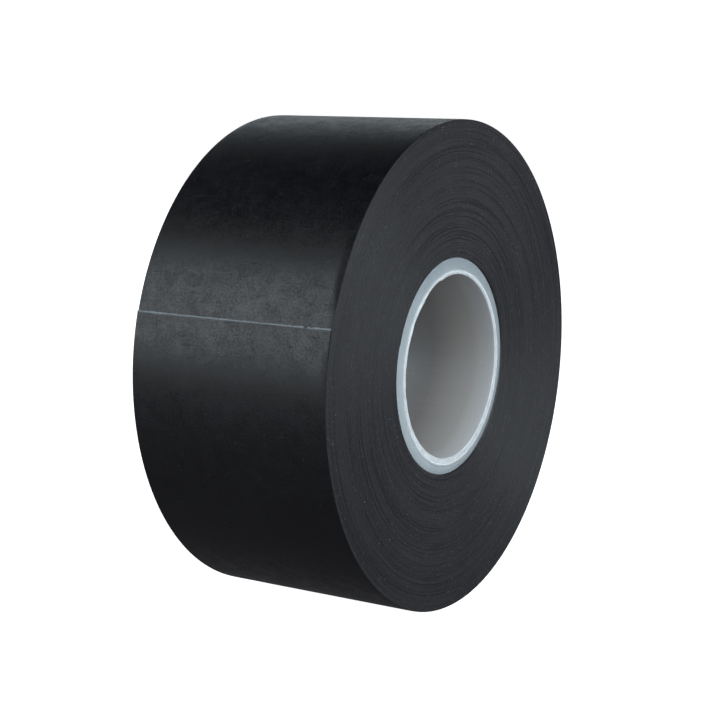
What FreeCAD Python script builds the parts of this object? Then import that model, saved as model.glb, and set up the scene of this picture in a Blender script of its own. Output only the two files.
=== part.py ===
# Roll of PVC electrical tape on a plastic core, in millimetres.
#
# The roll stands on its round side: +Y is the axis of the core, +Z is up, and the front face looks towards -Y.
# The origin is the centre of the core's bore, half way along it.
#
# The tape is one strip, a PVC film with adhesive on its inner side, wound in a spiral whose free end comes last.
# The spiral is of the two-centre kind. Seen from the front, in a frame turned so that the cut end lies on +X and
# angles are counted from there towards +Z, the strip runs back from its cut end with rising angle. Its first half
# turn is an arc about a centre a quarter of the tape's thickness out towards the cut, and the half turn before
# that is an arc about the opposite centre, half a thickness smaller.
#
# The turns creep forward along the axis from the core out to the rim, so the front face is a shallow dish and the
# back face a shallow cone. All turns but the last are bonded to each other, and are one solid. The last turn lies
# on them, and its free end is cut across into stretches that turn about the lines where they join.

import FreeCAD, Part
import Sketcher
import math
import os

PARTS_FOLDER = "parts"
FULL_TURN = 360
HALF_TURN = 180

DRIVING_SIZES = {
    "tape_width": 38,
    "roll_radius": 43.3,
    "film_thickness": 0.115,
    "adhesive_thickness": 0.025,
    "core_radius": 19.2,
    "bore_radius": 16.25,
    "bore_edge_round": 0.35,
    "lip_width": 1.1,  # of the ring that stands up round the bore at each end of the core
    "lip_height": 0.2,
    "lip_edge_round": 0.12,
    "core_edge_chamfer": 0.15,
    "creep": 1.2,  # how far the last turn stands forward of the core, along the axis
    "cut_angle": 163.3,  # from +X towards +Z to the strip's cut end, in degrees
    "flap_stretches": 6,  # pieces of the free end, each turning about the line where it joins the one before
    "stretch_angle": 10,  # how much of the roll one of them covers, in degrees
    "release_gap": 0.01,  # between the free end and the turn under it
    "waste": 1,  # how far each cut runs past the solid that it trims
}

TAPE = "(Sizes.film_thickness + Sizes.adhesive_thickness)"
CENTRE_SHIFT = f"{TAPE} / 4"
HALF_WIDTH = "Sizes.tape_width / 2"
CREEP_SLOPE = "Sizes.creep / (Sizes.roll_radius - Sizes.core_radius)"
LIP_RADIUS = "Sizes.bore_radius + Sizes.lip_width"

# Sketcher's numbers for the points of a line or an arc, and for the sketch's own axis and origin.
START, END, CENTRE = 1, 2, 3
X_AXIS = -1
ORIGIN = (-1, 1)


def make_sheet(doc):
    """The spreadsheet of driving sizes, each in a cell with an alias."""
    sheet = doc.addObject("Spreadsheet::Sheet", "Sizes")
    for row, (alias, value) in enumerate(DRIVING_SIZES.items(), start=1):
        sheet.set(f"A{row}", alias)
        sheet.set(f"B{row}", str(value))
        sheet.setAlias(f"B{row}", alias)
    doc.recompute()
    return sheet


def number(owner, formula):
    """What a formula of the sheet's cells comes to."""
    return float(owner.evalExpression(formula))


def bind(sketch, formula, kind, *points):
    """Adds a constraint that follows a formula, in millimetres, or in degrees for an angle."""
    value = number(sketch, formula)
    unit = "mm"
    if kind == "Angle":
        value = math.radians(value)
        unit = "deg"
    index = sketch.addConstraint(Sketcher.Constraint(kind, *points, value))
    sketch.setExpression(f"Constraints[{index}]", f"({formula}) * 1 {unit}")


def tie(sketch, kind, *points):
    """Adds a constraint that has no value."""
    sketch.addConstraint(Sketcher.Constraint(kind, *points))


def make_sketch(body, name, role, offset="0"):
    """A sketch on one of the body's origin planes, moved along the plane's normal by a formula."""
    sketch = body.newObject("Sketcher::SketchObject", f"{body.Label}_{name}")
    plane = next(feature for feature in body.Origin.OriginFeatures if feature.Role == role)
    sketch.AttachmentSupport = [(plane, "")]
    sketch.MapMode = "FlatFace"
    sketch.setExpression("AttachmentOffset.Base.z", f"({offset}) * 1 mm")
    return sketch


def polygon(sketch, corners):
    """A closed run of lines whose corners are pairs of formulas."""
    points = [FreeCAD.Vector(number(sketch, x), number(sketch, y), 0) for x, y in corners]
    lines = [
        sketch.addGeometry(Part.LineSegment(point, after))
        for point, after in zip(points, points[1:] + points[:1])
    ]
    for line, after, (x, y) in zip(lines, lines[1:] + lines[:1], corners[1:] + corners[:1]):
        tie(sketch, "Coincident", line, END, after, START)
        bind(sketch, x, "DistanceX", *ORIGIN, after, START)
        bind(sketch, y, "DistanceY", *ORIGIN, after, START)


def arc_about(sketch, shift, radius, start, end):
    """An arc about a centre on the X axis, from start to end degrees, with its radius and its ends left free."""
    centre = FreeCAD.Vector(number(sketch, shift), 0, 0)
    circle = Part.Circle(centre, FreeCAD.Vector(0, 0, 1), number(sketch, radius))
    arc = sketch.addGeometry(Part.ArcOfCircle(circle, math.radians(start), math.radians(end)))
    tie(sketch, "PointOnObject", arc, CENTRE, X_AXIS)
    bind(sketch, shift, "DistanceX", *ORIGIN, arc, CENTRE)
    return arc


def spiral_arcs(sketch, radius, start, end):
    """The spiral from start to end degrees back from the cut: one arc, or two that meet on the X axis.

    radius is that of the first half turn. The second arc's own follows from where they meet.
    """
    first = arc_about(sketch, CENTRE_SHIFT, radius, start, min(end, HALF_TURN))
    bind(sketch, radius, "Radius", first)
    if end <= HALF_TURN:
        return [first]
    second = arc_about(sketch, f"-{CENTRE_SHIFT}", f"{radius} - 2 * {CENTRE_SHIFT}", HALF_TURN, end)
    tie(sketch, "PointOnObject", first, END, X_AXIS)
    tie(sketch, "Coincident", first, END, second, START)
    return [first, second]


def line_between(sketch, inner_point, outer_point):
    """A line from a point on an inner arc to a point on an outer one, each given as (arc, point number)."""
    ends = [sketch.getPoint(*inner_point), sketch.getPoint(*outer_point)]
    line = sketch.addGeometry(Part.LineSegment(*ends))
    tie(sketch, "Coincident", line, START, *inner_point)
    tie(sketch, "Coincident", line, END, *outer_point)
    return line


def make_pad(body, sketch, length):
    """The sketch padded along its normal, which is -Y for a sketch on the XZ plane."""
    pad = body.newObject("PartDesign::Pad", f"{body.Label}_pad")
    pad.Profile = sketch
    pad.setExpression("Length", f"({length}) * 1 mm")


def make_turned(body, sketch, feature_type, name):
    """A Revolution or a Groove: the sketch turned all the way round the Y axis, which is its vertical axis."""
    turned = body.newObject(feature_type, f"{body.Label}_{name}")
    turned.Profile = sketch
    turned.ReferenceAxis = (sketch, ["V_Axis"])
    turned.Angle = FULL_TURN


def make_body(doc, label):
    """An empty body. Its label names its file."""
    body = doc.addObject("PartDesign::Body", label)
    body.Label = label
    return body


def turn_to_cut(body):
    """Turns a body made with the cut end on +X, so that the cut lies at its angle on the roll."""
    front = FreeCAD.Vector(0, -1, 0)
    angle = number(body, "Sizes.cut_angle")
    body.Placement = FreeCAD.Placement(FreeCAD.Vector(), FreeCAD.Rotation(front, angle))
    body.setExpression("Placement.Rotation.Angle", "Sizes.cut_angle * 1 deg")


def make_strip(doc, label, start, end, outer, inner):
    """A stretch of one layer of the strip, as a bent sheet with radial ends.

    start and end are degrees back from the cut. outer and inner are formulas for its radii in the first half turn.
    """
    body = make_body(doc, label)
    sketch = make_sketch(body, "section", "XZ_Plane", f"Sizes.creep - {HALF_WIDTH}")
    outer_arcs = spiral_arcs(sketch, outer, start, end)
    inner_arcs = spiral_arcs(sketch, inner, start, end)
    for outer_arc, inner_arc, point, angle in (
        (outer_arcs[0], inner_arcs[0], START, start),
        (outer_arcs[-1], inner_arcs[-1], END, end),
    ):
        line = line_between(sketch, (inner_arc, point), (outer_arc, point))
        tie(sketch, "PointOnObject", outer_arc, CENTRE, line)
        bind(sketch, str(angle % FULL_TURN), "Angle", line)
    make_pad(body, sketch, "Sizes.tape_width")
    turn_to_cut(body)
    return body


def make_wound_turns(doc):
    """Every turn under the last one: a spiral outline round the core, with its two end faces cut to their slope."""
    body = make_body(doc, "wound_turns")
    sketch = make_sketch(body, "outline", "XZ_Plane", f"-({HALF_WIDTH} + Sizes.waste)")
    arcs = spiral_arcs(sketch, f"Sizes.roll_radius - {TAPE}", 0, FULL_TURN)
    step = line_between(sketch, (arcs[1], END), (arcs[0], START))
    tie(sketch, "PointOnObject", step, START, X_AXIS)
    tie(sketch, "PointOnObject", step, END, X_AXIS)
    core_circle = sketch.addGeometry(
        Part.Circle(FreeCAD.Vector(), FreeCAD.Vector(0, 0, 1), number(sketch, "Sizes.core_radius"))
    )
    tie(sketch, "Coincident", core_circle, CENTRE, *ORIGIN)
    bind(sketch, "Sizes.core_radius", "Radius", core_circle)
    make_pad(body, sketch, "Sizes.tape_width + Sizes.creep + 2 * Sizes.waste")

    inside = "Sizes.core_radius - Sizes.waste"
    outside = "Sizes.roll_radius + Sizes.waste"
    rise = f"{CREEP_SLOPE} * Sizes.waste"
    for name, face_y, end_y in (
        ("front_face", f"-{HALF_WIDTH}", f"-{HALF_WIDTH} - Sizes.creep - 3 * Sizes.waste"),
        ("back_face", HALF_WIDTH, f"{HALF_WIDTH} + 3 * Sizes.waste"),
    ):
        corners = [
            (inside, f"{face_y} + {rise}"),
            (outside, f"{face_y} - Sizes.creep - {rise}"),
            (outside, end_y),
            (inside, end_y),
        ]
        profile = make_sketch(body, name, "XY_Plane")
        polygon(profile, corners)
        make_turned(body, profile, "PartDesign::Groove", f"{name}_groove")
    turn_to_cut(body)
    return body


def edges_at(shape, radius, height):
    """The names of the circular edges about the Y axis with this radius, at this distance either side of Y = 0."""
    return [
        f"Edge{index}"
        for index, edge in enumerate(shape.Edges, start=1)
        if isinstance(edge.Curve, Part.Circle)
        and math.isclose(edge.Curve.Radius, radius, abs_tol=1e-6)
        and math.isclose(abs(edge.Curve.Center.y), height, abs_tol=1e-6)
    ]


def make_core(doc):
    """The tube that the strip is wound on, with a narrow ring standing up round the bore at each end."""
    body = make_body(doc, "core")
    lip_top = f"{HALF_WIDTH} + Sizes.lip_height"
    half_profile = [
        ("Sizes.bore_radius", lip_top),
        (LIP_RADIUS, lip_top),
        (LIP_RADIUS, HALF_WIDTH),
        ("Sizes.core_radius", HALF_WIDTH),
    ]
    other_half = [(x, f"-({y})") for x, y in reversed(half_profile)]
    profile = make_sketch(body, "profile", "XY_Plane")
    polygon(profile, half_profile + other_half)
    make_turned(body, profile, "PartDesign::Revolution", "tube")
    for name, feature_type, size, radius, height in (
        ("bore_round", "PartDesign::Fillet", "bore_edge_round", "Sizes.bore_radius", lip_top),
        ("lip_round", "PartDesign::Fillet", "lip_edge_round", LIP_RADIUS, lip_top),
        ("edge_chamfer", "PartDesign::Chamfer", "core_edge_chamfer", "Sizes.core_radius", HALF_WIDTH),
    ):
        doc.recompute()
        base = body.Tip
        edges = edges_at(base.Shape, number(body, radius), number(body, height))
        trimmed = body.newObject(feature_type, f"core_{name}")
        trimmed.Base = (base, edges)
        trimmed.setExpression("Radius" if feature_type.endswith("Fillet") else "Size", f"Sizes.{size} * 1 mm")
        body.Tip = trimmed
    return body


def make_last_turn(doc, sheet):
    """The last turn's film and adhesive, from where the free end is still stuck down to the step at the cut."""
    start = sheet.flap_stretches * sheet.stretch_angle
    return make_layers(doc, "last_turn", start, FULL_TURN, "0")


def make_flap(doc, sheet):
    """The free end's stretches. The first joins the last turn and the last one ends at the cut."""
    count = int(sheet.flap_stretches)
    bodies = []
    for stretch in range(1, count + 1):
        start = (count - stretch) * sheet.stretch_angle
        label = f"flap_{stretch}"
        bodies += make_layers(doc, label, start, start + sheet.stretch_angle, "Sizes.release_gap")
    return bodies


def make_layers(doc, label, start, end, lift):
    """A stretch of the strip as its two layers, lifted off the turn below by a formula."""
    outer = f"Sizes.roll_radius + {lift}"
    bond = f"{outer} - Sizes.film_thickness"
    inner = f"{outer} - {TAPE}"
    return [
        make_strip(doc, f"{label}_film", start, end, outer, bond),
        make_strip(doc, f"{label}_adhesive", start, end, bond, inner),
    ]


def check_document(doc):
    """Stops if any object failed to compute."""
    for item in doc.Objects:
        if {"Invalid", "Error"} & set(item.State):
            raise RuntimeError(f"{item.Label} did not compute: {item.State}")


def export(bodies):
    """Writes each body to a file named after its label."""
    os.makedirs(PARTS_FOLDER, exist_ok=True)
    for body in bodies:
        shape = body.Shape
        if shape.isNull() or not shape.isValid() or len(shape.Solids) != 1:
            raise RuntimeError(f"{body.Label} is not one valid solid")
        shape.exportStep(f"{PARTS_FOLDER}/{body.Label}.step")
        box = shape.BoundBox
        print(
            f"{body.Label:18} {shape.Volume:12.4f} mm3"
            f"  x {box.XMin:8.3f} {box.XMax:8.3f}  y {box.YMin:8.3f} {box.YMax:8.3f}  z {box.ZMin:8.3f} {box.ZMax:8.3f}"
        )


def main():
    doc = FreeCAD.newDocument("tape_roll")
    sheet = make_sheet(doc)
    bodies = [make_core(doc), make_wound_turns(doc)]
    bodies += make_last_turn(doc, sheet)
    bodies += make_flap(doc, sheet)
    doc.recompute()
    check_document(doc)
    export(bodies)


main()
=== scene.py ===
# The looks of the electrical tape roll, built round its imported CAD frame.
#
# The frame stands the roll on its round side: +Y is the core's axis, +Z is up, and the front face looks towards -Y.
# Sizes here are in millimetres and degrees unless a name says otherwise, and meshes are scaled to metres at the end.
# Angles round the roll are counted back along the strip from its cut end, seen from the front.

import math

import bpy
import numpy as np
from mathutils import Matrix, Vector


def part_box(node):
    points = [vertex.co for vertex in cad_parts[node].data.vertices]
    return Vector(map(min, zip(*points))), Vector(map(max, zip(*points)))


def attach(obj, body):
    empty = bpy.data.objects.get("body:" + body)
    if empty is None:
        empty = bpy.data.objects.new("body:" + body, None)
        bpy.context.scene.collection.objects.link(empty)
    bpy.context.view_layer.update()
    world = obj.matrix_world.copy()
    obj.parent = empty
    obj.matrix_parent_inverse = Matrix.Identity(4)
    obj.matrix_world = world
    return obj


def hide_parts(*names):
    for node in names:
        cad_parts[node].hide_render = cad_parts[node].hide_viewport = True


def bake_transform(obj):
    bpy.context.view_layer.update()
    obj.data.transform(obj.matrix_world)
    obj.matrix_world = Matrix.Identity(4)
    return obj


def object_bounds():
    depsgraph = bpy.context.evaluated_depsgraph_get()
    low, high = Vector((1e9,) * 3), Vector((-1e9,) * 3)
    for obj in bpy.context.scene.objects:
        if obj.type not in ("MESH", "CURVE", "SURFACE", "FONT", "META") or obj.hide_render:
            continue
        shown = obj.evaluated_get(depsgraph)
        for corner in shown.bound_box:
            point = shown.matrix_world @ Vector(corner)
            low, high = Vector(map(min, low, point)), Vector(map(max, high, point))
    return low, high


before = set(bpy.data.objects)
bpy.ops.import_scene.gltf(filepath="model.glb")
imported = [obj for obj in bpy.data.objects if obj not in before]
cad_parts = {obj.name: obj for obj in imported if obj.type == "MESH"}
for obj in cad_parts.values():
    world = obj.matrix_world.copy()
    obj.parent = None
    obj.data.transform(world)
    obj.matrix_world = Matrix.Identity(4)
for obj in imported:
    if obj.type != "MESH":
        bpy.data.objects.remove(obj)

cad_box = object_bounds()

# ---------------------------------------------------------------- sizes

MM = 0.001
FILM, ADHESIVE = 0.115, 0.025
TAPE = FILM + ADHESIVE
SHIFT = TAPE / 4  # of the two centres that the spiral turns about
ROLL_RADIUS = 43.3
CORE_RADIUS, BORE_RADIUS = 19.2, 16.25
CUT = 163.3  # from +X towards +Z, to the strip's cut end
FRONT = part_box("last_turn_film")[0].y / MM
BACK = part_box("last_turn_film")[1].y / MM
CORE_END = 19.0  # where the winding's faces meet the core, either side of Y = 0
LIP_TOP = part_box("core")[1].y / MM
FLOOR = cad_box[0].z

# The free end, in stretches that meet end to end.
FLAPS = 6
STRETCH = 10  # degrees of the roll that one stretch covers
FLAP_END = FLAPS * STRETCH
RELEASE = 0.01  # how far the free end stands off, at its cut
ROW_SEAM = 0.08  # degrees from a sheet's end to the row of points next to it
SHEET_COLUMNS = 14  # across a sheet's flat middle
SHEET_ROWS = 10
LAST_TURN_ROWS = 240

# The rounding of the strip's edges. A bend of 1 turns an edge's whole shoulder down.
SHOULDER = 3.2  # the radius that the winding's edges are rounded to
SHOULDER_TURN = 28
SHOULDER_BEND = 0.42  # the front edge's bend beside the cut
CRISP_BEND = 0.08  # and that of the rest of both edges
SHOULDER_DEPTH = SHOULDER * math.sin(math.radians(SHOULDER_TURN))  # along the axis
SHOULDER_STEPS = 8
RIM_PLACES = np.array([0.3, 0.55])  # more points between an edge's first two, as shares of the way
RIM_CHAMFER = 0.055
RIM_CHAMFER_BEND = 0.4  # the bend that leaves no chamfer
SOFT_ABOVE, SOFT_BELOW = (318, 338), (4, 30)  # where the bend beside the cut sets in and where it dies out
WORN_ABOVE, WORN_BELOW = (333, 347), (349, 358)  # the same for the worn stretch just above the cut
STIFF_SHARE = 0.12  # of its bend, that the strip keeps right at its cut
STIFF_REACH = (0.6, 7.1)  # the distances from the cut between which it gets back to all of it

# The strip's cut end.
CUT_BAND = 0.25  # the width of the film at the cut that is pale: pulled pale by the cutting, and a painted highlight along the cut
CUT_ROWS = (0, 0.03, 0.07, 0.12, 0.2, 0.32, 0.5, 0.8, 1.3, 2, 2.8, 3.8, 5, 6.2)  # distances from the cut
LAST_CUT_ROW = 9.1  # and the angle of the row after those
CUT_COLUMNS = 170
CUT_PLACES = 760
CUT_WAVES = (0.012, 6), (0.02, 60)  # how ragged the cut is: deviations, and blur in places
CUT_SEED = 3
RAGGED_REACH, RAGGED_END = 0.3, 2  # how fast the cut's raggedness fades along the strip, and where it stops
BURR, BURR_WAVES = 0.032, ((0.3, 40),)  # its height, and how much of that varies
BURR_RISE, BURR_FALL = (-0.03, 0.07), (0.1, 0.7)  # the distances from the cut over which it rises and falls
CORNER_LIFT, CORNER_WIDTH, CORNER_LENGTH = 0.07, 3, 6
CUT_EDGE_ROUND = 0.03
NICKS = (  # place along the axis, depth and half width
    (-15.5, 0.34, 0.5), (-16.6, 0.16, 0.4), (16.9, 0.2, 0.16), (15.6, 0.1, 0.2),
    (9.4, 0.08, 0.18), (1.3, 0.07, 0.25), (-7.7, 0.09, 0.16), (-13.1, 0.06, 0.3),
)

# The winding's end faces.
WINDING_COLUMNS, WINDING_THREADS = 128, 2
RIDGE = 0.009  # the depth of the groove between two turns
WAVER_ROW, WAVER_ROWS = 0.07, 512  # the grid of heights that the turns stand in and out by
WAVER_LAYERS = (0.006, (1.5, 7)), (0.010, (4.5, 14)), (0.012, (14, 18))  # deviation, and blur in rows and columns
WAVER_LOW, WAVER_HIGH = -0.12, 0.03
SUNK_TURNS, SUNK_DEPTH = 14, 0.03  # single turns that lie deeper over part of their way round
SUNK_ROWS, SUNK_SPREAD, SUNK_WINDOW = (12, 330), 14, (-0.3, 0.9)
WINDING_SEED = 11
RIM_BLEND = 0.5  # how far in from the rim the face takes up its ridges and its waver
RIM_FOLLOW = 3  # how far in the turns follow the rim's rounding
CORE_GAP, CORE_GAP_WIDTH = 0.25, 0.22  # the groove where the winding meets the core
WALL_SINK = 0.3  # of the winding's bore edge under the core's chamfer

# The core. Its lip's section is given from the lip's outer edge and its top, outwards and up.
CORE_SEGMENTS = 256
LIP_WIDTH, FLANK_END = 0.95, 1.42  # from the bore
LIP_ROUND = 0.2
LIP_GROOVE = 0.03  # the depth of the fine groove round the lip's top
LIP_SECTION = (
    (-0.42, 0), (-0.36, -LIP_GROOVE), (-0.3, -LIP_GROOVE), (-0.24, 0), (-0.07, 0), (-0.01, -0.01),
    (0.06, -0.04), (0.16, -0.1), (0.26, -0.15), (0.36, -0.18),
)
LIP_OFF_CENTRE = 0.32  # downwards
LEDGE_SINK, LEDGE_CURVE = 0.2, 1.7  # how the end falls away from the lip to the tape
CORE_CHAMFER = (-0.03, -0.22), (0, -0.27)  # from the core's radius and its end, outwards and up
BORE_EDGE_CUT, BORE_EDGE_WAVES = 0.03, ((0.02, 9),)  # what is cut off the bore's edge all round, and how unevenly
TRIM_CUT, TRIM_WAVES = 0.2, ((0.045, 4), (0.035, 1.2))  # and what more in its trimmed stretch
TRIM_FROM, TRIM_TO = (105, 108), (205, 245)  # where that stretch sets in and where it dies out
TRIM_MOST = 0.36
LIP_PAINTED_GLOW = (0.6, 1, 1, 0.3, 0.1, 0)  # a painted glow of the translucent lip, from the bore's edge outwards, to the slope past the lip's foot
CORE_SEED = 5


# ---------------------------------------------------------------- shapes

def along(start, end, steps):
    return np.linspace(start, end, steps + 1)


def arc_rows(start, end, steps):
    """Angles with a fine step at each end, so that the shading of one sheet runs on into the next."""
    return np.concatenate([[start, start + ROW_SEAM], along(start, end, steps)[1:-1], [end - ROW_SEAM, end]])


def rise(value, start, end):
    """A smooth step, from 0 up to start to 1 from end on."""
    t = np.clip((value - start) / (end - start), 0, 1)
    return t * t * (3 - 2 * t)


def round_roll(a, radius):
    """x and z of points a degrees back from the cut, where radius is that of the spiral's first half turn."""
    a = np.asarray(a, float)
    side = np.where(a > 180, -1, 1)
    radius = radius - (1 - side) * SHIFT
    cut, angle = math.radians(CUT), np.radians(CUT + a)
    x = side * SHIFT * math.cos(cut) + radius * np.cos(angle)
    z = side * SHIFT * math.sin(cut) + radius * np.sin(angle)
    return x, z


def blurred(rng, shape, spread):
    """Random numbers on a grid that wraps round, blurred by spread cells each way, with a deviation of 1."""
    spectrum = np.fft.rfft2(rng.standard_normal(shape))
    rows = np.fft.fftfreq(shape[0])[:, None] * spread[0]
    columns = np.fft.rfftfreq(shape[1])[None, :] * spread[1]
    field = np.fft.irfft2(spectrum * np.exp(-2 * math.pi**2 * (rows**2 + columns**2)), shape)
    return (field - field.mean()) / field.std()


def wander(rng, count, spread):
    """A run of count random numbers, blurred by spread steps, with a deviation of 1."""
    return blurred(rng, (1, count), (0, spread))[0]


def waves(rng, count, layers):
    """Such runs added up, one for each deviation and spread in layers."""
    return sum(deviation * wander(rng, count, spread) for deviation, spread in layers)


def make_piece(name, points, faces, material, sharp_angle=50, uv=None, pale=None):
    """A smooth mesh object from points in millimetres. uv and pale hold one entry per point."""
    mesh = bpy.data.meshes.new(name)
    mesh.from_pydata((np.asarray(points) * MM).tolist(), [], faces)
    mesh.validate()
    mesh.polygons.foreach_set("use_smooth", np.full(len(mesh.polygons), True))
    if uv is not None:
        layer = mesh.uv_layers.new(name="strip")
        corner_points = np.empty(len(mesh.loops), np.int32)
        mesh.loops.foreach_get("vertex_index", corner_points)
        layer.data.foreach_set("uv", (np.asarray(uv)[corner_points] * MM).astype(np.float32).ravel())
    if pale is not None:
        mesh.attributes.new("pale", "FLOAT", "POINT").data.foreach_set("value", np.asarray(pale, np.float32))
    mesh.set_sharp_from_angle(angle=math.radians(sharp_angle))
    piece = bpy.data.objects.new(name, mesh)
    bpy.context.scene.collection.objects.link(piece)
    mesh.materials.append(material)
    return piece


def quads(ids, flip=False):
    """Quads over a grid of point numbers."""
    corners = (ids[:-1, :-1], ids[1:, :-1], ids[1:, 1:], ids[:-1, 1:])
    if flip:
        corners = corners[::-1]
    return np.stack([corner.ravel() for corner in corners], axis=1).tolist()


def bridge(line, other, flip=False):
    """Quads between two lines of point numbers."""
    return quads(np.stack([line, other], axis=1), flip)


def bends_at(a, distance=100):
    """The bend of the back edge and of the front one, a degrees and a distance back from the cut.

    Both are crisp, but for the front one beside the cut, where it is handled most. The strip's last few millimetres
    run nearly straight over the rounded edge.
    """
    soft = rise(a, *SOFT_ABOVE) + 1 - rise(a, *SOFT_BELOW)
    worn = rise(a, *WORN_ABOVE) * (1 - rise(a, *WORN_BELOW))
    front = CRISP_BEND + (SHOULDER_BEND - CRISP_BEND) * soft + (1 - SHOULDER_BEND) * worn
    share = STIFF_SHARE + (1 - STIFF_SHARE) * rise(distance, *STIFF_REACH)
    return CRISP_BEND * share, front * share


def edge_profile(depth, bends, columns=SHEET_COLUMNS):
    """Across a layer that lies depth under the last turn's outer face, from its back edge to its front one.

    Gives the axial places, how far each lies below the strip's outer radius, and the places once laid flat.
    """
    turn = np.radians(along(SHOULDER_TURN, 0, SHOULDER_STEPS))
    y, drop, flat = [], [], []
    for end, inward, bend in ((BACK, -1, bends[0]), (FRONT, 1, bends[1])):
        y.append(end + inward * (SHOULDER_DEPTH - SHOULDER * np.sin(turn) + depth * np.sin(turn * bend)))
        drop.append(SHOULDER * (1 - np.cos(turn)) * bend + depth * np.cos(turn * bend))
        flat.append(end + inward * (SHOULDER_DEPTH - SHOULDER * turn))
        for line in (y, drop, flat):
            first, second = line[-1][:2]
            line[-1] = np.insert(line[-1], 1, first + (second - first) * RIM_PLACES)
        if depth == 0:
            drop[-1][0] += RIM_CHAMFER * max(0, 1 - bend / RIM_CHAMFER_BEND)
    middle = along(y[0][-1], y[1][-1], columns)[1:-1]
    return (
        np.concatenate([y[0], middle, y[1][::-1]]),
        np.concatenate([drop[0], np.full(len(middle), depth), drop[1][::-1]]),
        np.concatenate([flat[0], middle, flat[1][::-1]]),
    )


def make_sheet(name, angles, top, bottom, material, columns=SHEET_COLUMNS, shape=None):
    """One layer of the strip as a closed sheet, over angles from the cut and between two depths under its face.

    shape takes a row's distance from the cut, its places laid flat and whether it is on the strip's face, and gives
    how far its points move outwards and along the strip.
    """
    points, uv = [], []
    for depth in (top, bottom):
        for a in angles:
            distance = math.radians(a) * ROLL_RADIUS
            y, drop, flat = edge_profile(depth, bends_at(a, distance), columns)
            out, forth = shape(distance, flat, depth == 0) if shape else (0, np.zeros(len(flat)))
            lift = RELEASE * max(0, 1 - a / FLAP_END)
            x, z = round_roll(a + np.degrees(forth / ROLL_RADIUS), ROLL_RADIUS + lift - drop + out)
            points.append(np.stack([x, y, z], axis=1))
            uv.append(np.stack([distance + forth, flat], axis=1))
    uv = np.concatenate(uv)
    outer, inner = np.arange(len(uv)).reshape(2, len(angles), -1)
    faces = quads(outer, flip=True) + quads(inner)
    for edge in (0, -1):
        faces += bridge(outer[:, edge], inner[:, edge], flip=edge == -1)
        faces += bridge(outer[edge], inner[edge], flip=edge == 0)
    # Pale band at the cut: film pulled pale by the cutting, and a painted highlight along the cut's edge.
    pale = 1 - rise(uv[:, 0], CUT_BAND / 2, CUT_BAND * 1.5)
    return make_piece(name, np.concatenate(points), faces, material, uv=uv, pale=pale)


def make_cut_shape(rng):
    """The free end's last millimetres: a burr along the cut, small nicks in it, and a front corner that lifts."""
    grid = along(BACK, FRONT, CUT_PLACES)
    ragged = waves(rng, len(grid), CUT_WAVES)
    for place, depth, width in NICKS:
        ragged += depth * np.clip(1 - np.abs(grid - place) / width, 0, 1)
    burr = BURR * (1 + waves(rng, len(grid), BURR_WAVES))

    def shape(distance, flat, is_face):
        forth = np.interp(-flat, -grid, ragged) * math.exp(-distance / RAGGED_REACH)
        crest = rise(distance, *BURR_RISE) * (1 - rise(distance, *BURR_FALL))
        corner = CORNER_LIFT * (1 - rise(flat, FRONT, FRONT + CORNER_WIDTH)) * (1 - rise(distance, 0, CORNER_LENGTH))
        out = np.interp(-flat, -grid, burr) * crest + corner
        if is_face and distance == 0:
            out = out - CUT_EDGE_ROUND
        return out, forth * (distance < RAGGED_END)

    return shape


def winding_face(rng, turns, sign, rim_radii, rim_y):
    """One end face of the winding as a spiral of ridges and grooves. sign is -1 for the front.

    Gives its points as places along the spiral by threads. rim_radii and rim_y have one entry for each column and
    one for the first column again.
    """
    columns, threads = WINDING_COLUMNS, WINDING_THREADS
    places = (turns + 1) * columns + 1
    turn, column = np.divmod(np.arange(places), columns)
    a = column * 360 / columns
    field = sum(size * blurred(rng, (WAVER_ROWS, columns), spread) for size, spread in WAVER_LAYERS)
    for _ in range(SUNK_TURNS):
        row, window = int(rng.integers(*SUNK_ROWS)), wander(rng, columns, SUNK_SPREAD)
        field[row : row + 2] -= SUNK_DEPTH * rise(window, *SUNK_WINDOW)
    core_end, rim = sign * CORE_END, FRONT if sign < 0 else BACK

    def cone_at(radius):
        return core_end + (rim - core_end) * (radius - CORE_RADIUS) / (ROLL_RADIUS - CORE_RADIUS)

    points = np.empty((places, threads, 3))
    for thread in range(threads):
        radius = rim_radii[0] - TAPE * (turn + thread / threads)
        below = rim_radii[0] - radius
        cone = cone_at(radius)
        row = np.floor(below / WAVER_ROW)
        share = below / WAVER_ROW - row
        row = row.astype(int) % WAVER_ROWS
        waver = field[row, column] * (1 - share) + field[(row + 1) % WAVER_ROWS, column] * share
        radius = radius - (rim_radii[0] - rim_radii[column]) * np.clip(1 - below / RIM_FOLLOW, 0, 1)
        inside = rise(below, 0, RIM_BLEND)
        gap = CORE_GAP * (1 - rise(radius, CORE_RADIUS, CORE_RADIUS + CORE_GAP_WIDTH))
        groove = RIDGE * (thread == 0) * inside
        sunk = inside * (WAVER_HIGH - np.clip(waver, WAVER_LOW, WAVER_HIGH))
        y = cone - sign * (groove + gap + sunk) + (rim_y[column] - cone_at(rim_radii[0])) * (1 - inside)
        x, z = round_roll(a, radius)
        points[:, thread] = np.stack([x, y, z], axis=1)
    return points


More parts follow.
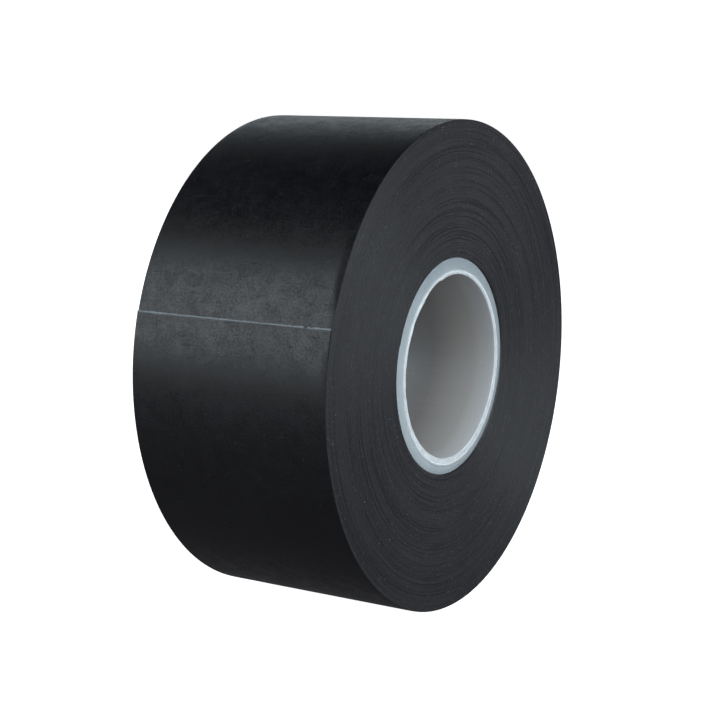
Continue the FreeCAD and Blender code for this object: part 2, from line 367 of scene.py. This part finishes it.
def make_winding(name, material, wall_material):
    """Every turn under the last: two ridged end faces, a rounded outer wall with the last turn's step, and a bore."""
    rng = np.random.default_rng(WINDING_SEED)
    columns, threads = WINDING_COLUMNS, WINDING_THREADS
    angles = np.arange(columns + 1) * 360 / columns
    profiles = [edge_profile(TAPE, bends_at(a)) for a in angles]
    y, drop = np.array([profile[0] for profile in profiles]), np.array([profile[1] for profile in profiles])
    turns = int((ROLL_RADIUS - drop[0, 0] - CORE_RADIUS) / TAPE) - 1
    last = turns * columns
    faces, groups = [], []
    count = 0
    rims, rings = {}, {}

    for sign, edge in ((-1, -1), (1, 0)):
        flip = sign > 0
        points = winding_face(rng, turns, sign, ROLL_RADIUS - drop[:, edge], y[:, edge])
        number = count + np.arange(len(points) * threads).reshape(-1, threads)
        rims[sign] = number[: columns + 1, 0]
        groups.append(points.reshape(-1, 3))
        count += number.size
        faces += quads(number[: last + 1], flip)
        faces += bridge(number[: last + 1, -1], number[columns : columns + last + 1, 0], flip)

        angle = np.radians(CUT + angles[:-1])
        depth = np.full(columns, sign * (CORE_END - WALL_SINK))
        groups.append(np.stack([CORE_RADIUS * np.cos(angle), depth, CORE_RADIUS * np.sin(angle)], axis=1))
        rings[sign] = count + np.arange(columns + 1) % columns
        count += columns
        faces += bridge(number[last:, 0], rings[sign], flip)

        # The spiral's two ends, where one turn's width closes on the next turn and on the ring.
        for end in ([*number[0], number[columns, 0]], [*number[last], number[last + columns, 0], rings[sign][0]]):
            faces.append([int(i) for i in (end if sign < 0 else end[::-1])])
    faces += bridge(rings[-1], rings[1])

    width = y.shape[1]
    wall = np.empty((columns + 1, width), int)
    wall[:, 0], wall[:, -1] = rims[1], rims[-1]
    for column, a in enumerate(angles):
        x, z = round_roll(np.full(width, a), ROLL_RADIUS - drop[column])
        groups.append(np.stack([x, y[column], z], axis=1)[1:-1])
        wall[column, 1:-1] = count + np.arange(width - 2)
        count += width - 2
    face_count = len(faces)
    faces += quads(wall, flip=True)
    faces += bridge(wall[0], wall[-1])

    points = np.concatenate(groups)
    angle = np.degrees(np.arctan2(points[:, 2], points[:, 0]))
    uv = np.stack([np.radians((angle - CUT) % 360) * ROLL_RADIUS, points[:, 1]], axis=1)
    piece = make_piece(name, points, faces, material, uv=uv)
    piece.data.materials.append(wall_material)
    index = np.zeros(len(faces), np.int32)
    index[face_count:] = 1
    piece.data.polygons.foreach_set("material_index", index)
    return piece


def rounded(corner, before, after, radius, steps):
    """The arc that rounds a right-angled corner of a profile, between the sides towards before and after."""
    corner, before, after = (np.array(point, float) for point in (corner, before, after))
    u = (before - corner) / np.linalg.norm(before - corner)
    v = (after - corner) / np.linalg.norm(after - corner)
    centre = corner + radius * (u + v)
    turn = np.radians(along(0, 90, steps))
    return [tuple(centre - radius * (v * math.cos(t) + u * math.sin(t))) for t in turn]


def make_core(name, material):
    """The tube: at each end a lip round the bore, off centre, a gentle slope and a fine chamfer at the tape."""
    rng = np.random.default_rng(CORE_SEED)
    segments = CORE_SEGMENTS
    lip, foot = BORE_RADIUS + LIP_WIDTH, BORE_RADIUS + FLANK_END
    half = [(BORE_RADIUS, y) for y in along(0, CORE_END - 1.5, 10)[1:]]
    half += rounded((BORE_RADIUS, LIP_TOP), (BORE_RADIUS, 0), (lip, LIP_TOP), LIP_ROUND, 6)
    half += [(lip + out, LIP_TOP + up) for out, up in LIP_SECTION]
    half.append((foot, CORE_END))
    for r in along(foot, CORE_RADIUS - 0.1, 12)[1:]:
        half.append((r, CORE_END - LEDGE_SINK * ((r - foot) / (CORE_RADIUS - foot)) ** LEDGE_CURVE))
    half += [(CORE_RADIUS + out, CORE_END + up) for out, up in CORE_CHAMFER]
    loop = np.array([(BORE_RADIUS, 0.0)] + half + [(r, -y) for r, y in reversed(half)])
    out, up = loop[:, 0], np.abs(loop[:, 1])

    degrees = np.arange(segments) * 360 / segments
    angle = np.radians(degrees)
    trimmed = rise(degrees, *TRIM_FROM) * (1 - rise(degrees, *TRIM_TO))
    cut_off = BORE_EDGE_CUT + waves(rng, segments, BORE_EDGE_WAVES)
    cut_off += trimmed * (TRIM_CUT + waves(rng, segments, TRIM_WAVES))
    bore_edge = rise(up, CORE_END - 0.5, CORE_END - 0.1) * (1 - rise(out, lip - 0.34, lip - 0.04))
    lip_zone = rise(out, BORE_RADIUS + 0.3, BORE_RADIUS + 0.7) * (1 - rise(out, CORE_RADIUS - 1.5, CORE_RADIUS - 0.1))
    radius = (
        out[None, :]
        + np.clip(cut_off, 0, TRIM_MOST)[:, None] * bore_edge[None, :]
        - LIP_OFF_CENTRE * np.sin(angle)[:, None] * lip_zone[None, :]
    )
    points = np.stack([
        radius * np.cos(angle)[:, None],
        np.broadcast_to(loop[None, :, 1], radius.shape),
        radius * np.sin(angle)[:, None],
    ], axis=2)

    ids = np.arange(segments * len(loop)).reshape(segments, len(loop))
    ids = np.vstack([ids, ids[:1]])
    ids = np.hstack([ids, ids[:, :1]])
    # The lip's painted glow, fading over the slope past its foot, with less of it in the fine groove round its top, a
    # painted shade there.
    on_end = up > np.where(out > lip, CORE_END - 0.25, CORE_END + 0.02)
    pale_at = (BORE_RADIUS + 0.25, lip - 0.3, lip + 0.02, lip + 0.16, foot, foot + 1.0)
    pale = on_end * np.interp(out, pale_at, LIP_PAINTED_GLOW)
    in_groove = (np.abs(up - LIP_TOP + LIP_GROOVE) < 0.001) * (out < lip - 0.2)
    pale = np.broadcast_to(pale * (1 - 0.25 * in_groove), radius.shape).ravel()
    return make_piece(name, points.reshape(-1, 3), quads(ids), material, sharp_angle=40, pale=pale)


# ---------------------------------------------------------------- materials

def rgb(*values):
    return (*values, 1.0)


class Nodes:
    """Short ways to add nodes to a tree."""

    def __init__(self, tree):
        self.tree = tree

    def put(self, socket, value):
        if isinstance(value, bpy.types.NodeSocket):
            self.tree.links.new(value, socket)
        else:
            socket.default_value = value

    def make(self, kind, *values, **settings):
        made = self.tree.nodes.new("ShaderNode" + kind)
        for key, value in settings.items():
            setattr(made, key, value)
        for socket, value in zip(made.inputs, values):
            self.put(socket, value)
        return made

    def maths(self, operation, *values):
        return self.make("Math", *values, operation=operation).outputs[0]

    def times(self, a, b):
        return self.maths("MULTIPLY", a, b)

    def total(self, first, *others):
        for value in others:
            first = self.maths("ADD", first, value)
        return first

    def ramp(self, value, low, high, to_low=0.0, to_high=1.0):
        return self.make("MapRange", value, low, high, to_low, to_high).outputs[0]


class Surface(Nodes):
    """A Principled material. Places and scales are in millimetres."""

    def __init__(self, name, **sockets):
        self.material = bpy.data.materials.new(name)
        self.material.use_nodes = True
        super().__init__(self.material.node_tree)
        self.shader = self.tree.nodes["Principled BSDF"]
        self.dress(**sockets)

    def dress(self, **sockets):
        """Sets the shader's own sockets."""
        for key, value in sockets.items():
            self.put(self.shader.inputs[key.replace("_", " ")], value)

    def scaled(self, place, *scale):
        return self.make("VectorMath", place, scale, operation="MULTIPLY").outputs[0]

    def strip_place(self):
        """Along the strip and across it."""
        return self.scaled(self.make("UVMap", uv_map="strip").outputs[0], 1 / MM, 1 / MM, 0)

    def object_place(self):
        return self.scaled(self.make("TexCoord").outputs["Object"], 1 / MM, 1 / MM, 1 / MM)

    def round_axis(self, place):
        """The distance from the roll's axis, and the parts of the direction from it."""
        flat = self.scaled(place, 1, 0, 1)
        radius = self.make("VectorMath", flat, operation="LENGTH").outputs["Value"]
        direction = self.make("VectorMath", flat, operation="NORMALIZE").outputs[0]
        return radius, self.make("SeparateXYZ", direction).outputs

    def joined(self, *parts):
        return self.make("CombineXYZ", *parts).outputs[0]

    def noise(self, place, scale, detail=2.0, roughness=0.5, distortion=0.0):
        made = self.make("TexNoise")
        for key, value in (("Vector", place), ("Scale", scale), ("Detail", detail), ("Roughness", roughness),
                           ("Distortion", distortion)):
            self.put(made.inputs[key], value)
        return made.outputs[0]

    def specks(self, place, scale, share, size):
        """Scattered dots: cells of this scale, of which a share holds a dot of that size."""
        cells = self.make("TexVoronoi")
        for key, value in (("Vector", place), ("Scale", scale), ("Randomness", 1.0)):
            self.put(cells.inputs[key], value)
        chosen = self.maths("LESS_THAN", self.make("SeparateColor", cells.outputs["Color"]).outputs[0], share)
        return self.times(chosen, self.ramp(cells.outputs["Distance"], size * 0.5, size, 1.0, 0.0))

    def mix(self, factor, a, b):
        made = self.make("Mix", data_type="RGBA")
        for index, value in ((0, factor), (6, a), (7, b)):
            self.put(made.inputs[index], value)
        return made.outputs[2]

    def painted(self, base, *coats):
        """base with coats laid over it in turn, each a mask and a colour."""
        for mask, colour in coats:
            base = self.mix(mask, base, rgb(*colour))
        return base

    def bump(self, height, distance, normal=None):
        """Height from 0 to 1 over this distance in millimetres."""
        made = self.make("Bump")
        self.put(made.inputs["Distance"], distance * MM)
        self.put(made.inputs["Height"], height)
        if normal is not None:
            self.put(made.inputs["Normal"], normal)
        return made.outputs[0]

    def paleness(self):
        """What the mesh says of how pale it is, from 0 to 1: the film's pale cut band, partly a painted highlight,
        and the core lip's painted glow.
        """
        return self.make("Attribute", attribute_name="pale").outputs["Fac"]


def film_surface():
    """Calendered PVC film: satin black with a mottled gloss, fine scratches and dust, and a pale cut: pulled pale by
    the cutting, with a painted highlight along it.
    """
    s = Surface("pvc_film", IOR=1.5)
    place = s.strip_place()
    grain = s.noise(place, 3.3, 3, 0.7)
    fine = s.noise(place, 3.9, 3, 0.7)
    flecks = s.ramp(s.noise(place, 2.1, 4, 0.8, 0.3), 0.5, 0.62)
    combed = s.noise(s.scaled(place, 3.0, 0.14, 1.0), 1.0, 3, 0.65)
    blotch = s.noise(place, 0.42, 4, 0.65, 0.6)
    smudge = s.noise(place, 0.1, 4, 0.6, 0.4)
    across = s.noise(s.scaled(place, 2.6, 0.22, 1.0), 1.0, 4, 0.7, 0.5)
    lengthwise = s.noise(s.scaled(place, 0.06, 3.0, 1.0), 1.0, 3, 0.7)
    scratches = s.maths("MAXIMUM", s.ramp(across, 0.62, 0.7), s.ramp(lengthwise, 0.67, 0.74))
    dust = s.specks(place, 0.9, 0.35, 0.11)
    pits = s.specks(place, 1.5, 0.3, 0.16)
    dull = s.times(s.ramp(grain, 0.42, 0.66), s.ramp(blotch, 0.3, 0.62, 0.3, 1.0))
    stretched_and_lit = s.paleness()
    uneven = s.ramp(s.noise(s.scaled(place, 0.3, 1.0, 1.0), 2.4, 3, 0.7), 0.35, 0.6, 0.75, 1.0)
    base = s.mix(s.ramp(grain, 0.3, 0.7), rgb(0.0030, 0.0027, 0.0040), rgb(0.0022, 0.0020, 0.0030))
    base = s.painted(
        base,
        (s.ramp(smudge, 0.45, 0.75, 0.0, 0.5), (0.0062, 0.0062, 0.0078)),
        (s.times(flecks, 0.35), (0.0016, 0.0016, 0.0022)),
        (s.times(scratches, 0.6), (0.0016, 0.0016, 0.002)),
        (s.times(dust, 0.45), (0.09, 0.1, 0.105)),
        (s.times(pits, 0.7), (0.001, 0.001, 0.001)),
        # the pale cut: pulled pale by the cutting, and a painted highlight along its edge
        (s.times(stretched_and_lit, uneven), (0.2, 0.238, 0.256)),
    )
    roughness = s.total(
        s.ramp(smudge, 0.3, 0.7, 0.29, 0.345),
        s.times(dull, 0.16),
        s.ramp(fine, 0.38, 0.62, -0.03, 0.08),
        s.times(flecks, 0.1),
        s.ramp(blotch, 0.35, 0.65, -0.02, 0.05),
        s.ramp(combed, 0.35, 0.65, -0.005, 0.03),
        s.times(scratches, 0.2),
        s.times(pits, 0.3),
        s.times(stretched_and_lit, 0.1),
    )
    height = s.maths("SUBTRACT", grain, s.times(scratches, 0.35))
    height = s.maths("SUBTRACT", height, s.times(pits, 0.8))
    relief = s.bump(s.total(height, s.times(dust, 0.8)), 0.006)
    relief = s.bump(s.noise(place, 0.16, 2, 0.5), 0.03, relief)
    s.dress(Base_Color=base, Roughness=roughness, Normal=relief)
    return s.material


def face_surface():
    """The edges of the turns: satin, combed round the axis, with radial smears, pale dust and painted glints."""
    s = Surface("wound_edges", IOR=1.5, Anisotropic=0.75, Anisotropic_Rotation=0.25)
    place = s.object_place()
    radius, direction = s.round_axis(place)
    spoke = s.joined(direction[0], s.times(radius, 0.004), direction[2])
    swept = s.joined(direction[0], s.times(radius, 0.0016), direction[2])
    turn = s.joined(direction[0], radius, direction[2])
    rings = s.noise(s.scaled(turn, 1.0, 1.3, 1.0), 1.0, 5, 0.75)
    lines = s.ramp(s.noise(s.scaled(turn, 0.8, 3.0, 0.8), 1.0, 2, 0.7), 0.54, 0.66)
    smears = s.noise(spoke, 70, 3, 0.65)
    scrapes = s.ramp(s.noise(swept, 210, 2, 0.6), 0.66, 0.74)
    grain = s.noise(place, 2.6, 3, 0.65)
    smudge = s.noise(place, 0.12, 3, 0.55)
    # Painted glints: fine pale specks in clusters, standing in for tiny glints of light.
    painted_glints = s.times(s.specks(place, 1.6, 0.45, 0.3), s.ramp(s.noise(place, 0.3, 3, 0.6), 0.4, 0.62))
    dust = s.times(s.specks(place, 1.1, 0.2, 0.15), s.ramp(s.noise(place, 0.11, 3, 0.6), 0.4, 0.52))
    base = s.mix(s.ramp(rings, 0.38, 0.62), rgb(0.0089, 0.0091, 0.0100), rgb(0.0176, 0.0179, 0.0196))
    base = s.painted(
        base,
        (s.times(lines, 0.7), (0.0036, 0.0038, 0.0046)),
        (s.ramp(smears, 0.45, 0.8, 0.0, 0.5), (0.023, 0.0234, 0.0266)),
        (s.ramp(smudge, 0.45, 0.8, 0.0, 0.4), (0.021, 0.0213, 0.0242)),
        (s.times(scrapes, 0.45), (0.045, 0.047, 0.053)),
        (s.times(painted_glints, 0.8), (0.07, 0.075, 0.082)),
        (s.times(dust, 0.8), (0.2, 0.215, 0.225)),
    )
    roughness = s.total(
        s.ramp(rings, 0.35, 0.65, 0.33, 0.46),
        s.ramp(smears, 0.3, 0.7, -0.05, 0.06),
        s.ramp(grain, 0.3, 0.7, -0.08, 0.08),
        s.times(lines, 0.16),
    )
    relief = s.bump(s.maths("SUBTRACT", s.total(grain, s.times(smears, 0.5)), lines), 0.05)
    round_the_axis = s.make("Tangent", direction_type="RADIAL", axis="Y").outputs[0]
    s.dress(Base_Color=base, Roughness=roughness, Normal=relief, Tangent=round_the_axis)
    return s.material


def core_surface():
    """Extruded polyolefin: pale blue-grey, satin and a little translucent, with draw marks along the bore. Its colour
    holds painted shade deep in the bore, painted light on its ends' lower left and a painted glow on its lips.
    """
    s = Surface("core_plastic", IOR=1.49, Subsurface_Weight=0.35, Subsurface_Scale=1.2 * MM,
                Subsurface_Radius=(1.0, 1.1, 1.2))
    place = s.object_place()
    radius, direction = s.round_axis(place)
    depth = s.maths("ABSOLUTE", s.make("SeparateXYZ", place).outputs[1])
    cloud = s.noise(place, 0.22, 3, 0.55)
    grain = s.noise(place, 3.5, 3, 0.6)
    drawn = s.noise(s.scaled(place, 2.2, 0.02, 2.2), 1.0, 3, 0.65)
    scuffs = s.ramp(s.noise(s.scaled(place, 0.6, 5.0, 0.6), 0.8, 3, 0.7), 0.64, 0.74)
    turn = s.joined(s.times(direction[0], 9), s.times(radius, 5), s.times(direction[2], 9))
    # Painted glow on the lip, streaked round it.
    lip = s.times(s.paleness(), s.ramp(s.noise(turn, 1.0, 4, 0.7), 0.38, 0.58, 0.5, 1.0))
    # Painted light: the core's ends lighter towards their lower left, as if lamp light from the left came through the
    # translucent plastic.
    painted_light_side = s.make("VectorMath", place, (-0.85, 0, -0.5), operation="DOT_PRODUCT").outputs["Value"]
    bore = s.ramp(radius, BORE_RADIUS + 0.2, BORE_RADIUS + 0.04)

    # Painted shade and light in the bore: pale near its mouths, darker deeper in, where little light gets in.
    tube = s.mix(s.ramp(depth, 18.8, 14.5), rgb(0.66, 0.67, 0.67), rgb(0.52, 0.505, 0.48))
    tube = s.painted(
        tube,
        (s.ramp(depth, 16.0, 6.0), (0.225, 0.21, 0.2)),
        (s.ramp(depth, 7.0, 0.0), (0.215, 0.225, 0.228)),
    )
    base = s.mix(s.ramp(cloud, 0.3, 0.7), rgb(0.275, 0.322, 0.342), rgb(0.305, 0.355, 0.372))
    base = s.painted(base, (s.times(s.ramp(painted_light_side, -4, 19), 0.75), (0.46, 0.515, 0.535)))
    base = s.painted(
        s.mix(bore, base, tube),
        (s.ramp(drawn, 0.35, 0.7, 0.0, 0.06), (0.46, 0.47, 0.48)),
        (s.times(scuffs, 0.25), (0.72, 0.76, 0.78)),
        # the lip's painted glow
        (lip, (0.92, 0.96, 0.96)),
        (s.times(s.specks(place, 0.5, 0.3, 0.09), 0.5), (0.2, 0.21, 0.22)),
    )
    relief = s.bump(s.total(s.times(grain, 0.5), drawn), 0.012)
    s.dress(Base_Color=base, Roughness=s.ramp(cloud, 0.3, 0.7, 0.34, 0.46), Normal=relief)
    return s.material


def adhesive_surface():
    """Rubber adhesive: black and tacky, with orange peel and pulled strings across the strip."""
    s = Surface("adhesive", IOR=1.5)
    place = s.strip_place()
    peel = s.noise(place, 1.1, 3, 0.55)
    pulled = s.noise(s.scaled(place, 1.6, 0.12, 1.0), 1.0, 4, 0.6)
    cloud = s.noise(place, 0.12, 3, 0.6)
    base = s.mix(s.ramp(cloud, 0.3, 0.7), rgb(0.008, 0.008, 0.0085), rgb(0.016, 0.016, 0.017))
    base = s.painted(base, (s.times(s.specks(place, 0.8, 0.25, 0.1), 0.4), (0.07, 0.07, 0.07)))
    roughness = s.ramp(s.total(pulled, peel), 0.7, 1.3, 0.16, 0.36)
    s.dress(Base_Color=base, Roughness=roughness, Normal=s.bump(s.total(peel, s.times(pulled, 1.5)), 0.02))
    return s.material


def floor_surface():
    """A pale floor that is nearly white to the camera and keeps a faint shadow."""
    s = Surface("pale_floor", Roughness=0.9)
    s.dress(Base_Color=s.mix(s.noise(s.object_place(), 0.02, 2, 0.5), rgb(0.86, 0.86, 0.86), rgb(0.9, 0.9, 0.9)))
    glow = s.make("Emission", rgb(1, 1, 1), 1.0)
    both = s.make("AddShader", glow.outputs[0], s.shader.outputs[0])
    s.put(s.tree.nodes["Material Output"].inputs["Surface"], both.outputs[0])
    return s.material


# ---------------------------------------------------------------- pieces

film, adhesive, edges = film_surface(), adhesive_surface(), face_surface()

core = make_core("core_tube", core_surface())
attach(core, "roll")
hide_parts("core")

winding = make_winding("winding", edges, film)
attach(winding, "roll")
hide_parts("wound_turns")

LAYERS = (("film", 0, FILM, film, "tape_film"), ("adhesive", FILM, TAPE, adhesive, "tape_adhesive"))
cut_shape = make_cut_shape(np.random.default_rng(CUT_SEED))
for layer, top, bottom, material, slot in LAYERS:
    sheet = make_sheet(f"stuck_{layer}", arc_rows(FLAP_END, 360, LAST_TURN_ROWS), top, bottom, material)
    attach(sheet, "roll")
    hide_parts(f"last_turn_{layer}")
    for flap in range(1, FLAPS + 1):
        near = (FLAPS - flap) * STRETCH
        angles, columns, shape = arc_rows(near, near + STRETCH, SHEET_ROWS), SHEET_COLUMNS, None
        if near == 0:
            rows = np.degrees(np.array(CUT_ROWS) / ROLL_RADIUS)
            angles = np.append(rows, (LAST_CUT_ROW, STRETCH - ROW_SEAM, STRETCH))
            columns, shape = CUT_COLUMNS, cut_shape
        sheet = make_sheet(f"free_{layer}_{flap}", angles, top, bottom, material, columns, shape)
        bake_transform(sheet)
        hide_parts(f"flap_{flap}_{layer}")


# ---------------------------------------------------------------- floor, camera and lights, in metres

FLOOR_REACH = 3
LENS, SENSOR = 84.5, 36  # in millimetres
CAMERA_PLACE = Vector((-0.25837, -0.15826, 0.05381))
CAMERA_RIGHT = Vector((0.52244, -0.8527, 0))
CAMERA_UP = Vector((0.15081, 0.0924, 0.98424))
CAMERA_FORWARD = Vector((0.83926, 0.5142, -0.17686))
COOL = (0.86, 0.935, 1.0)
LIGHTS = (  # name, direction from the roll's middle, distance, size, brightness and colour
    ("left_box", (-0.80, 0.50, 0.365), 0.7, (0.5, 0.475), 3.2, (0.87, 0.955, 1.0)),
    ("back_box", (0.72, 0.52, 0.38), 0.9, (0.9, 0.35), 0.9, (0.84, 0.945, 1.0)),
    ("fill_box", (-0.5, -0.85, 0.14), 0.8, (0.6, 0.34), 5.0, COOL),
    ("high_box", (-0.15, -0.75, 0.64), 0.8, (0.5, 0.5), 5.0, COOL),
    ("front_box", (0.45, -0.86, 0.22), 0.8, (0.4, 0.4), 1.2, COOL),
    ("right_box", (0.88, -0.42, 0.0), 0.8, (0.3, 0.3), 0.25, COOL),
    ("rear_box", (0.35, 0.9, 0.3), 0.9, (0.5, 0.4), 1.3, COOL),
)
CARD_SIZE, CARD_POWER = (0.24, 0.24), 0.24
CARD_PLACE = (0.2, -0.13, FLOOR + 0.001)
FACE_UP = (0, 1, 0, 0)  # the turn of a light that shines upwards
ROOM_COLOUR = rgb(0.89, 0.9, 1)
WORLD_LOW, WORLD_HIGH = 0.185, 0.006  # the room's brightness below and above
UNDER_ROLL = 0.55  # how much of it is left right below the roll, in its own shadow
WORLD_WHITE = 1.2  # what the camera sees

floor_mesh = bpy.data.meshes.new("floor")
corners = [(x * FLOOR_REACH, y * FLOOR_REACH, FLOOR) for x, y in ((-1, -1), (1, -1), (1, 1), (-1, 1))]
floor_mesh.from_pydata(corners, [], [(0, 1, 2, 3)])
floor_mesh.materials.append(floor_surface())
floor = bpy.data.objects.new("floor", floor_mesh)
bpy.context.scene.collection.objects.link(floor)
floor.visible_glossy = False
floor.visible_diffuse = False

camera_data = bpy.data.cameras.new("camera")
camera_data.lens, camera_data.sensor_width = LENS, SENSOR
camera_data.clip_start, camera_data.clip_end = 0.01, 20
camera = bpy.data.objects.new("camera", camera_data)
bpy.context.scene.collection.objects.link(camera)
turned = Matrix((CAMERA_RIGHT, CAMERA_UP, -CAMERA_FORWARD)).transposed().to_4x4()
camera.matrix_world = Matrix.Translation(CAMERA_PLACE) @ turned
bpy.context.scene.camera = camera


def softbox(name, direction, distance, size, power, colour):
    """A rectangular light that faces the roll's middle from a direction. One of power 1 reflects as white."""
    data = bpy.data.lights.new(name, "AREA")
    data.shape = "RECTANGLE"
    data.size, data.size_y = size
    data.energy = power * size[0] * size[1] * math.pi
    data.color = colour
    lamp = bpy.data.objects.new(name, data)
    towards = Vector(direction).normalized()
    lamp.location = towards * distance
    lamp.rotation_mode = "QUATERNION"
    lamp.rotation_quaternion = towards.to_track_quat("Z", "Y")
    lamp.visible_camera = False
    bpy.context.scene.collection.objects.link(lamp)
    return lamp


for light in LIGHTS:
    softbox(*light)
card = softbox("floor_card", (0, 0, 1), 1, CARD_SIZE, CARD_POWER, COOL)
card.location = CARD_PLACE
card.rotation_quaternion = FACE_UP

world = bpy.data.worlds.new("studio")
bpy.context.scene.world = world
world.use_nodes = True
studio = Nodes(world.node_tree)
background = studio.tree.nodes["Background"]
height = studio.make("SeparateXYZ", studio.make("TexCoord").outputs["Generated"]).outputs[2]
room = studio.ramp(height, -0.2, 0.4, WORLD_LOW, WORLD_HIGH)
shade = studio.ramp(height, -0.9, -0.3, UNDER_ROLL, 1)
to_camera = studio.make("LightPath").outputs["Is Camera Ray"]
studio.put(background.inputs["Color"], ROOM_COLOUR)
studio.put(background.inputs["Strength"], studio.ramp(to_camera, 0, 1, studio.times(room, shade), WORLD_WHITE))
bpy.context.scene.view_settings.view_transform = "Standard"
